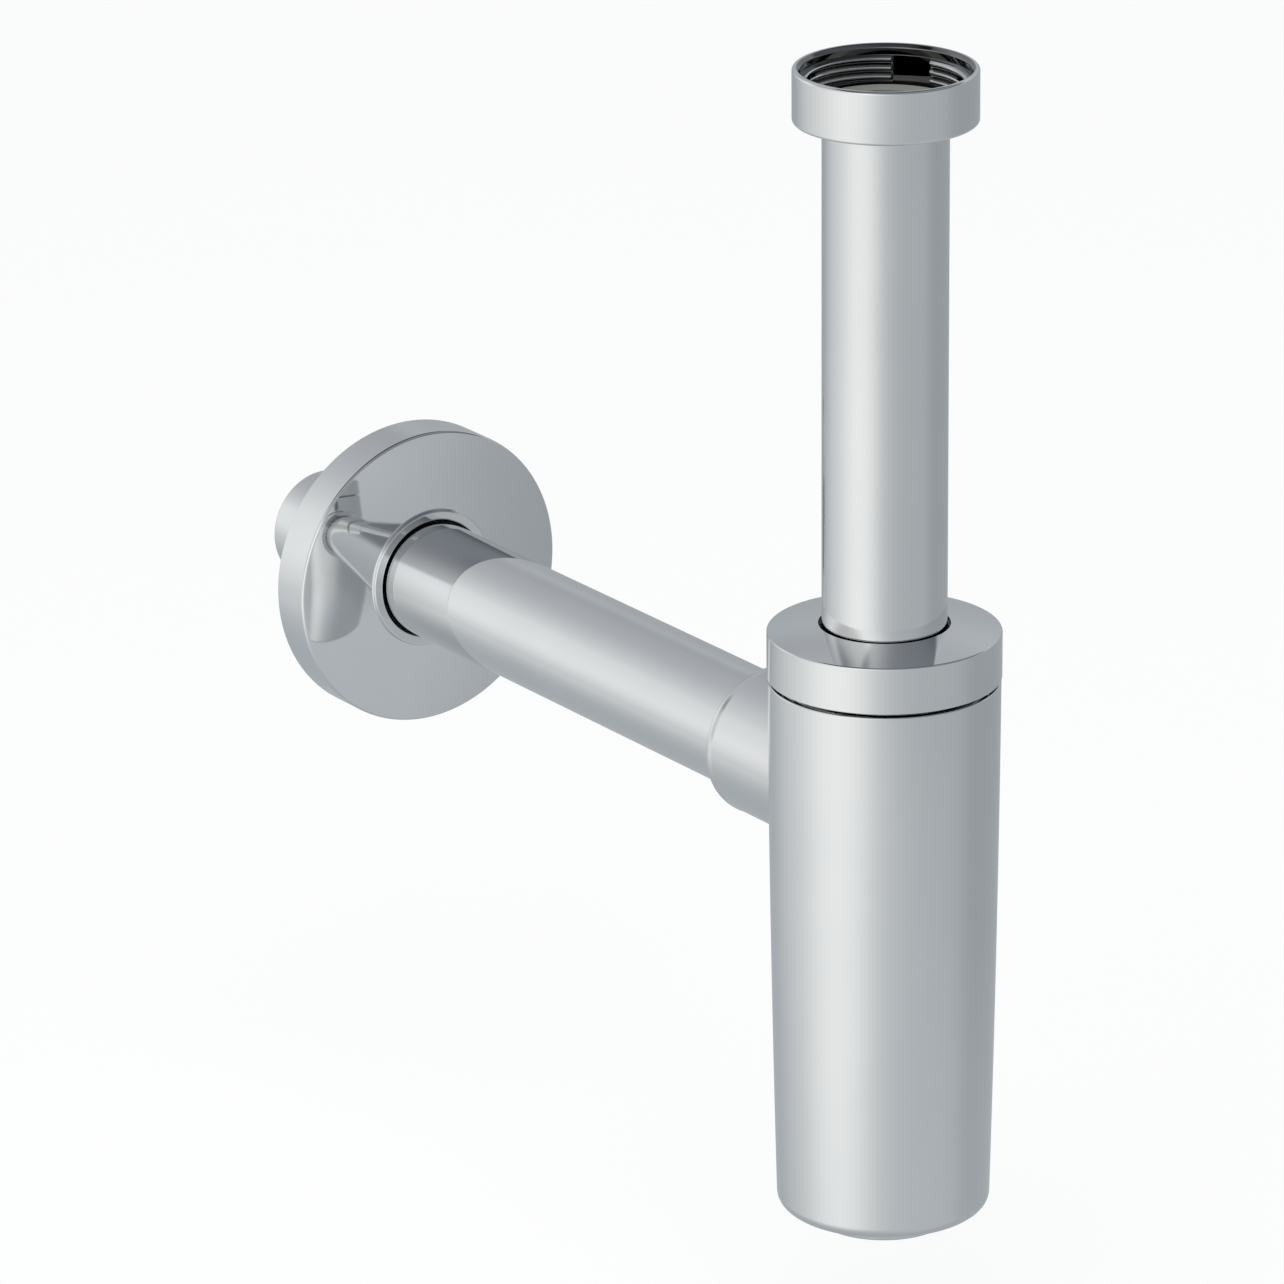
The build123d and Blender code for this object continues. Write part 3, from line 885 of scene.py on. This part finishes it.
@dataclass
class Bottle:
    """Bottle in one moulding: threaded neck, tapered side, outlet socket and clean-out opening."""

    taper: Taper = Taper()
    wall: float = 2.4
    side: tuple[float, float] = (-151.9, -291.9)
    chamber_side: tuple[float, float] = (-155.4, -291.5)
    chamber_top: float = -153.8
    chamber_round: float = 1.5
    floor: float = -292.8
    floor_round: float = 1.2
    foot_round: float = 3.6
    neck_r: float = 25.8
    neck_top: float = -142.4
    funnel_r: float = 22.5
    funnel_low: float = -149.7
    funnel_low_r: float = 19.2
    throat_r: float = 18.0
    boss_r: float = 18.9
    boss_top: float = -287.6
    opening_r: float = 15.4
    ring_seat: float = -293.5
    ring_seat_r: float = 17.1
    socket_r: float = 19.8
    socket_mouth: float = 51.2
    socket_bore_r: float = 16.3
    socket_stop: float = 30.0
    port_r: float = 14.6
    groove: tuple[float, float] = (43.4, 48.0)
    groove_r: float = 18.1
    lip_start: float = 48.6
    bead_middle: float = 49.8
    bead_rise: float = 0.16
    bead_round: float = 1.2
    mouth_round: float = 0.6
    root_round: float = 1.2
    blend_rows: int = 9
    thread: Thread = Thread(pitch=2.3, depth=1.2, crest_along=0.0, fade=1.2)
    clean_out_thread: Thread = Thread(pitch=2.3, depth=0.4, crest_along=0.0, fade=0.8)

    def turned_parts(self, skin: Skin, outer: HoledWall, inner: HoledWall) -> None:
        """Adds what is plainly turned: neck and shoulder, underside, and the inside above and below.

        Args:
            skin: the skin that takes the grids.
            outer: the side's outer wall.
            inner: the side's inner wall.
        """
        top_r, low_r = outer.radius(outer.top), outer.radius(outer.low)
        chamber_r, sump_r = inner.radius(inner.top), inner.radius(inner.low)
        neck = [
            Corner(top_r, outer.top),
            Corner(top_r, self.taper.top, ROUND),
            Corner(self.neck_r, self.taper.top, thread=self.thread),
            Corner(self.neck_r, self.neck_top, ROUND),
            Corner(self.funnel_r, self.neck_top, FINE),
            Corner(self.funnel_low_r, self.funnel_low),
            Corner(self.throat_r, self.funnel_low, CRISP),
            Corner(self.throat_r, self.chamber_top, CRISP),
            Corner(chamber_r, self.chamber_top, self.chamber_round),
            Corner(chamber_r, inner.top),
        ]
        foot = [
            Corner(sump_r, inner.low),
            Corner(sump_r, self.floor, self.floor_round),
            Corner(self.boss_r, self.floor, PLAIN),
            Corner(self.boss_r, self.boss_top, PLAIN),
            Corner(self.opening_r, self.boss_top, thread=self.clean_out_thread),
            Corner(self.opening_r, self.ring_seat),
            Corner(self.ring_seat_r, self.ring_seat),
            Corner(self.ring_seat_r, self.taper.low, CRISP),
            Corner(self.taper.low_r, self.taper.low, self.foot_round),
            Corner(low_r, outer.low),
        ]
        for corners in (neck, foot):
            TurnedSection(corners, columns=outer.columns, closed=False).add_to(skin)

    def blend(self, skin: Skin, wall: HoledWall, bearing: np.ndarray, edge: np.ndarray) -> None:
        """Adds the blend from the bottle's side onto the socket, and the socket's straight outside.

        The blend is a quadratic curve from the hole's edge, drawn towards the corner where the two surfaces
        would meet, to the socket's wall.

        Args:
            skin: the skin that takes the grids.
            wall: the side's outer wall.
            bearing: directions of its hole's points round the outlet's axis.
            edge: the hole's points.
        """
        around = Spindle.ARM.lean(1.0, 0.0, bearing)
        foot = Spindle.ARM.place(self.socket_r, 0.0, bearing)
        meet = np.sqrt(wall.radius(foot[:, 2]) ** 2 - foot[:, 0] ** 2)
        corner = Spindle.ARM.place(self.socket_r, meet, bearing)
        rise = Spindle.ARM.place(self.socket_r, meet + self.root_round, bearing)
        share = np.linspace(0.0, 1.0, self.blend_rows)[:, None, None]
        curve = (1 - share) ** 2 * edge + 2 * share * (1 - share) * corner + share ** 2 * rise
        normals = grid_normals(curve)
        normals *= np.sign((normals * around).sum(axis=-1).mean())
        normals[0] = wall.normal(edge[:, 2], np.arctan2(edge[:, 1], edge[:, 0]))
        normals[-1] = around
        skin.add(curve, normals)
        lip = Spindle.ARM.place(self.socket_r, self.lip_start, bearing)
        skin.add(np.stack([rise, lip]), np.stack([around, around]))

    def socket(self, skin: Skin, bearing: np.ndarray, back: np.ndarray, hole: np.ndarray) -> None:
        """Adds the low bead round the mouth, the bore with the seal's groove, the stop and the port.

        Args:
            skin: the skin that takes the grids.
            bearing: directions of the outer hole's points round the outlet's axis.
            back: directions of the inner hole's points.
            hole: the inner hole's points.
        """
        bore = [
            Corner(self.socket_r, self.lip_start),
            Corner(self.socket_r + self.bead_rise, self.bead_middle, self.bead_round),
            Corner(self.socket_r, self.socket_mouth, self.mouth_round),
            Corner(self.socket_bore_r, self.socket_mouth, PLAIN),
            Corner(self.socket_bore_r, self.groove[1]),
            Corner(self.groove_r, self.groove[1]),
            Corner(self.groove_r, self.groove[0]),
            Corner(self.socket_bore_r, self.groove[0]),
            Corner(self.socket_bore_r, self.socket_stop),
        ]
        TurnedSection(bore, Spindle.ARM, closed=False).add_to(skin, bearing)
        stop = Spindle.ARM.place(self.socket_bore_r, self.socket_stop, bearing)
        port = Spindle.ARM.place(self.port_r, self.socket_stop, back)
        skin.add(np.stack([stop, port]), np.broadcast_to([0.0, 1.0, 0.0], (2, len(back), 3)))
        inwards = Spindle.ARM.lean(-1.0, 0.0, back)
        skin.add(np.stack([port, hole]), np.stack([inwards, inwards]))

    def build(self, shop: Workshop) -> None:
        """Makes the bottle."""
        skin = Skin()
        outer = HoledWall(self.taper, *self.side, self.socket_r + self.root_round)
        inner = HoledWall(self.taper, *self.chamber_side, self.port_r, self.wall, outside=False)
        bearing, edge = outer.grow(skin)
        back, hole = inner.grow(skin)
        self.turned_parts(skin, outer, inner)
        self.blend(skin, outer, bearing, edge)
        self.socket(skin, bearing, back, hole)
        shop.piece("plated_bottle", skin, "bottle", "bottle_body", Slot.CHROME)


@dataclass
class CleanOut:
    """Screw plug under the bottle, with a slot for a coin, and the ring that seals it."""

    low: float = -299.4
    seat: float = -295.9
    top: float = -287.9
    flange_r: float = 18.5
    spigot_r: float = 14.9
    cup_r: float = 12.7
    cup_round: float = 0.6
    edge: float = 1.2
    slot_half: float = 10.5
    slot_end_r: float = 1.5
    slot_depth: float = 1.8
    threaded: tuple[float, float] = (-293.3, -288.6)
    thread: Thread = Thread(pitch=2.3, depth=0.4, crest_along=1.15, fade=0.8)
    ring_radii: tuple[float, float] = (15.2, 17.0)
    ring_ends: tuple[float, float] = (-295.6, -293.8)
    ring_round: float = 0.899
    columns: int = 256

    def slot_outline(self) -> tuple[np.ndarray, np.ndarray]:
        """Outline of the coin slot, evenly spaced along it: two straight sides joined by half circles.

        Returns:
            Centres that the outline swings round, along X, and the directions from them.
        """
        quarter, side = self.slot_end_r * math.pi / 2, 2 * self.slot_half
        stops = np.cumsum([0.0, quarter, side, 2 * quarter, side, quarter])
        run = np.linspace(0.0, stops[-1], self.columns, endpoint=False)
        half = self.slot_half
        centre = np.interp(run, stops, [half, half, -half, -half, half, half])
        swing = np.interp(run, stops, np.radians([0.0, 90.0, 90.0, 270.0, 270.0, 360.0]))
        return centre, swing

    def underside(self, skin: Skin) -> None:
        """Adds the flat underside round the slot, the slot's wall and its floor."""
        centre, swing = self.slot_outline()
        zero, down = np.zeros_like(centre), np.array([0.0, 0.0, -1.0])
        around = Spindle.UPRIGHT.lean(1.0, 0.0, swing)
        spine = np.stack([centre, zero, zero + self.low], axis=-1)
        rim = spine + self.slot_end_r * around
        face = Spindle.UPRIGHT.place(self.flange_r - self.edge, self.low, even_angles(self.columns))
        inward = -down * self.slot_depth
        flat = np.broadcast_to(down, (2, self.columns, 3))
        skin.add(np.stack([rim, face]), flat)
        skin.add(np.stack([rim, rim + inward]), np.stack([-around, -around]))
        skin.add(np.stack([rim + inward, spine + inward]), flat)

    def plug(self) -> Skin:
        """Plug's skin: the underside, then flange, threaded spigot and cup, turned."""
        skin = Skin()
        self.underside(skin)
        corners = [
            Corner(self.flange_r - self.edge, self.low),
            Corner(self.flange_r, self.low, self.edge),
            Corner(self.flange_r, self.seat, PLAIN),
            Corner(self.spigot_r, self.seat),
            Corner(self.spigot_r, self.threaded[0], thread=self.thread),
            Corner(self.spigot_r, self.threaded[1]),
            Corner(self.spigot_r, self.top, SOFT),
            Corner(self.cup_r, self.top, CRISP),
            Corner(self.cup_r, self.seat, self.cup_round),
            Corner(0.0, self.seat),
        ]
        TurnedSection(corners, columns=self.columns, closed=False).add_to(skin)
        return skin

    def build(self, shop: Workshop) -> None:
        """Makes the plug and its ring, whose section is a square rounded to all but a circle."""
        shop.piece("slotted_clean_out_plug", self.plug(), "clean_out_plug", "clean_out_plug", Slot.CHROME)
        ring = ring_section(self.ring_radii, self.ring_ends, self.ring_round)
        shop.turned("clean_out_ring", ring, "plug_o_ring", "plug_o_ring", Slot.BLACK_RUBBER)


@dataclass
class Outlet:
    """Outlet tube with its turned mark, and the lip seal that holds it in the socket."""

    start: float = 36.0
    end: float = 265.2
    mark: tuple[float, float] = (226.2, 227.0)
    mark_r: float = 15.7
    mark_edge: float = 0.05
    seal_ends: tuple[float, float] = (43.7, 47.7)
    seal_r: float = 17.8
    seal_edge: float = 0.25
    lip_end: float = 47.0
    cut_r: float = 17.1
    cut_root_r: float = 16.75
    cut_root: float = 45.1

    def tube(self) -> TurnedSection:
        """Tube's section."""
        corners = [
            Corner(BORE_R, self.start, CRISP),
            Corner(TUBE_R, self.start, SOFT),
            Corner(TUBE_R, self.mark[0], self.mark_edge),
            Corner(self.mark_r, self.mark[0], self.mark_edge),
            Corner(self.mark_r, self.mark[1], self.mark_edge),
            Corner(TUBE_R, self.mark[1], self.mark_edge),
            Corner(TUBE_R, self.end, SOFT),
            Corner(BORE_R, self.end, CRISP),
        ]
        return TurnedSection(corners, Spindle.ARM, columns=320)

    def seal(self) -> TurnedSection:
        """Lip seal's section, with a groove between its outer wall and its lip."""
        start, end = self.seal_ends
        corners = [
            Corner(GRIP_R, start, self.seal_edge),
            Corner(self.seal_r, start, self.seal_edge),
            Corner(self.seal_r, end, self.seal_edge),
            Corner(self.cut_r, end, FINE),
            Corner(self.cut_root_r, self.cut_root, FINE),
            Corner(GRIP_R, self.lip_end, FINE),
        ]
        return TurnedSection(corners, Spindle.ARM)

    def build(self, shop: Workshop) -> None:
        """Makes the outlet tube and its seal."""
        shop.turned("plated_outlet_tube", self.tube(), "outlet_tube", "outlet_tube", Slot.CHROME)
        shop.turned("socket_lip_seal", self.seal(), "outlet_seal", "outlet_seal", Slot.BLACK_RUBBER)


@dataclass
class WallRosette:
    """Hollow wall cover with its collar, and the ring inside the collar that grips the tube."""

    front: float = 209.9
    rim_front: float = 210.8
    back: float = 223.4
    outer_r: float = 41.3
    rim_round: float = 0.9
    crown: Corner = Corner(30.25, 210.186, 631.0)
    hollow_r: float = 39.7
    hollow_front: float = 211.5
    hollow_rim: float = 212.4
    hollow_crown: Corner = Corner(29.45, 211.793, 570.0)
    collar: tuple[float, float] = (208.6, 215.6)
    collar_r: float = 19.2
    bore_r: float = 16.6
    groove: tuple[float, float] = (210.2, 214.4)
    groove_r: float = 17.8
    ring_radii: tuple[float, float] = (GRIP_R, 17.5)
    ring_ends: tuple[float, float] = (210.5, 214.1)
    face_lean: tuple[float, float] = (0.159, 0.259)
    face_inset: tuple[float, float] = (0.4, 0.6)
    face_slack: float = 0.1

    def cover(self) -> TurnedSection:
        """Cover's section: collar, crowned face, rim, hollow back and the grip ring's groove."""
        corners = [
            Corner(self.bore_r, self.collar[0], SOFT),
            Corner(self.collar_r, self.collar[0], SOFT),
            Corner(self.collar_r, self.front, SOFT),
            self.crown,
            Corner(self.outer_r, self.rim_front, self.rim_round),
            Corner(self.outer_r, self.back, CRISP),
            Corner(self.hollow_r, self.back, CRISP),
            Corner(self.hollow_r, self.hollow_rim, self.rim_round),
            self.hollow_crown,
            Corner(self.collar_r, self.hollow_front, SOFT),
            Corner(self.collar_r, self.collar[1], CRISP),
            Corner(self.bore_r, self.collar[1], CRISP),
            Corner(self.bore_r, self.groove[1]),
            Corner(self.groove_r, self.groove[1]),
            Corner(self.groove_r, self.groove[0]),
            Corner(self.bore_r, self.groove[0]),
        ]
        inner, outer = self.collar_r + self.face_inset[0], self.outer_r - self.face_inset[1]
        front, behind = self.front - self.face_slack, self.rim_front + self.face_slack
        bow = Bow(inner, outer, front, behind, *self.face_lean)
        return TurnedSection(corners, Spindle.ARM, columns=384, arc_steps=15, bowed=bow)

    def build(self, shop: Workshop) -> None:
        """Makes the cover and its grip ring."""
        shop.turned("plated_wall_rosette", self.cover(), "rosette", "rosette", Slot.CHROME)
        ring = ring_section(self.ring_radii, self.ring_ends, SOFT, Spindle.ARM)
        shop.turned("rosette_grip_ring", ring, "rosette_ring", "rosette_ring", Slot.BLACK_RUBBER)


def direction_to(azimuth: float, elevation: float) -> Vector:
    """Unit direction from two angles in degrees; azimuth 0 is towards -Y and 90 towards +X."""
    azimuth, elevation = math.radians(azimuth), math.radians(elevation)
    level = math.cos(elevation)
    return Vector((math.sin(azimuth) * level, -math.cos(azimuth) * level, math.sin(elevation)))


@dataclass(frozen=True)
class SoftLamp:
    """Soft patch of light or shade in the dome: where it is, how tight its edge, its reach and colour."""

    azimuth: float
    elevation: float
    tightness: float
    reach: float
    colour: tuple[float, float, float]


@dataclass
class Studio:
    """Pale floor, soft dome and the photograph's camera; overhead lamp and clip distances are in metres."""

    floor_z: float = -330.0
    floor_half: float = 6000.0
    floor_tone: tuple[float, float] = (0.3, 0.31)
    floor_patches: float = 3.0
    floor_detail: float = 2.0
    floor_roughness: float = 0.9
    floor_glow: float = 0.83
    base: tuple[float, float, float] = (0.448, 0.476, 0.499)
    lowest: tuple[float, float, float] = (0.03, 0.031, 0.033)
    backdrop: tuple[float, float, float] = (0.97, 0.97, 0.97)
    lamps: tuple[SoftLamp, ...] = (
        SoftLamp(8.0, -24.0, 16.2, 0.79, (0.097, 0.1, 0.098)),
        SoftLamp(-148.0, 8.0, 12.3, 1.0, (0.871, 0.857, 0.811)),
        SoftLamp(-179.0, 65.0, 26.2, 0.72, (-0.203, -0.216, -0.226)),
        SoftLamp(-85.0, 5.0, 6.0, 0.82, (0.959, 0.933, 0.865)),
        SoftLamp(-108.0, 27.0, 30.0, 0.84, (-0.466, -0.465, -0.47)),
        SoftLamp(14.0, 66.0, 59.8, 0.56, (-0.427, -0.443, -0.453)),
        SoftLamp(-49.0, 79.0, 7.5, 0.3, (0.333, 0.344, 0.362)),
        SoftLamp(56.0, 87.0, 60.0, -0.35, (-0.064, -0.068, -0.07)),
        SoftLamp(145.0, 20.0, 12.0, 0.9, (0.042, 0.042, 0.043)),
    )
    overhead_size: float = 1.6
    overhead_watts: float = 5.0
    overhead_place: tuple[float, float, float] = (-0.3, -0.2, 1.3)
    overhead_back: tuple[float, float, float] = (-0.3, -0.1, 1.5)
    view_azimuth: float = -34.664
    view_elevation: float = 19.54
    view_roll: float = -0.431
    view_distance: float = 2164.5
    pixels_per_mm: float = 3.937
    frame_pixels: float = 1284.0
    sensor: float = 36.0
    clip: tuple[float, float] = (0.1, 50.0)
    aim: tuple[float, float, float] = (0.0, 0.0, -140.2)
    aim_pixel: tuple[float, float] = (884.469, 636.79)

    def floor(self) -> None:
        """Lays the pale floor, clear of bottle and plug at their lowest; the plating doesn't mirror it."""
        half, z = self.floor_half * MM, self.floor_z * MM
        rim = [(-half, -half, z), (half, -half, z), (half, half, z), (-half, half, z)]
        mesh = bpy.data.meshes.new("studio_floor")
        mesh.from_pydata(rim, [], [(0, 1, 2, 3)])
        made = in_scene("studio_floor", mesh)
        made.visible_glossy = False
        material = bpy.data.materials.new("pale_floor")
        sheet = NodeSheet.cleared(material)
        patches = sheet.noise(self.floor_patches, self.floor_detail)
        shader = sheet.node("ShaderNodeBsdfPrincipled", {
            "Base Color": sheet.spread(patches, (0.0, 1.0), self.floor_tone),
            "Roughness": self.floor_roughness,
            "Specular IOR Level": 0.0,
            "Emission Color": (1.0, 1.0, 1.0, 1.0),
            "Emission Strength": self.floor_glow,
        })
        sheet.node("ShaderNodeOutputMaterial", {"Surface": shader.outputs[0]})
        mesh.materials.append(material)

    def dome(self) -> None:
        """Builds the dome that lights the piece and that the plating mirrors.

        Its brightness in a direction is a base plus each soft lamp's colour times a smooth step. The step is
        one over one plus the exponential of the tightness times what the cosine of the angle to the lamp
        falls short of its reach, so it passes a half at the reach. The camera sees an even backdrop.
        """
        world = bpy.data.worlds.new("studio_dome")
        bpy.context.scene.world = world
        sheet = NodeSheet.cleared(world)
        view = sheet.node("ShaderNodeTexCoord").outputs["Generated"]
        total = self.base
        for lamp in self.lamps:
            middle = direction_to(lamp.azimuth, lamp.elevation)
            cosine = sheet.vector("DOT_PRODUCT", {0: view, 1: middle}, "Value")
            short = sheet.math("SUBTRACT", lamp.reach, cosine)
            growth = sheet.math("EXPONENT", sheet.math("MULTIPLY", short, lamp.tightness))
            step = sheet.math("DIVIDE", 1.0, sheet.math("ADD", growth, 1.0))
            part = sheet.vector("SCALE", {0: lamp.colour, "Scale": step})
            total = sheet.vector("ADD", {0: part, 1: total})
        total = sheet.vector("MAXIMUM", {0: total, 1: self.lowest})
        glow = sheet.node("ShaderNodeBackground", {"Color": total})
        plain = sheet.node("ShaderNodeBackground", {"Color": (*self.backdrop, 1.0)})
        seen = sheet.node("ShaderNodeLightPath").outputs["Is Camera Ray"]
        choice = sheet.node("ShaderNodeMixShader", {0: seen, 1: glow.outputs[0], 2: plain.outputs[0]})
        sheet.node("ShaderNodeOutputWorld", {"Surface": choice.outputs[0]})

    def overhead(self) -> None:
        """Hangs one large soft lamp above, for the floor and the insides; the plating doesn't mirror it."""
        lamp = bpy.data.lights.new("overhead_soft_lamp", "AREA")
        lamp.shape = "DISK"
        lamp.size = self.overhead_size
        lamp.energy = self.overhead_watts
        made = in_scene("overhead_soft_lamp", lamp)
        made.location = self.overhead_place
        made.rotation_euler = Vector(self.overhead_back).to_track_quat("Z", "Y").to_euler()
        made.visible_glossy = False

    def camera(self) -> None:
        """Sets up the camera so that the aim point lands on its pixel of the 1284 by 1284 photograph."""
        roll = math.radians(self.view_roll)
        back = direction_to(self.view_azimuth, self.view_elevation)
        right = direction_to(self.view_azimuth + 90.0, 0.0)
        up = back.cross(right)
        right, up = math.cos(roll) * right + math.sin(roll) * up, math.cos(roll) * up - math.sin(roll) * right
        middle = self.frame_pixels / 2
        aside = (self.aim_pixel[0] - middle) / self.pixels_per_mm
        above = (middle - self.aim_pixel[1]) / self.pixels_per_mm
        place = Vector(self.aim) + self.view_distance * back - aside * right - above * up
        lens = bpy.data.cameras.new("photo_view")
        lens.sensor_width = self.sensor
        lens.lens = self.sensor * self.pixels_per_mm * self.view_distance / self.frame_pixels
        lens.clip_start, lens.clip_end = self.clip
        made = in_scene("photo_view", lens)
        turned = Matrix((right, up, back)).transposed().to_4x4()
        made.matrix_world = Matrix.Translation(place * MM) @ turned
        bpy.context.scene.camera = made

    def build(self) -> None:
        """Sets up floor, dome, lamp, camera and plain colours."""
        self.floor()
        self.dome()
        self.overhead()
        self.camera()
        bpy.context.scene.view_settings.view_transform = "Standard"


def main() -> None:
    """Builds the sub-assemblies from the inlet down and out to the wall, then the studio."""
    logging.basicConfig(level=logging.INFO, format="%(name)s: %(message)s")
    shop = Workshop()
    for assembly in (InletUnion(), NeckClamp(), Bottle(), CleanOut(), Outlet(), WallRosette()):
        assembly.build(shop)
    Studio().build()


if __name__ == "__main__":
    main()
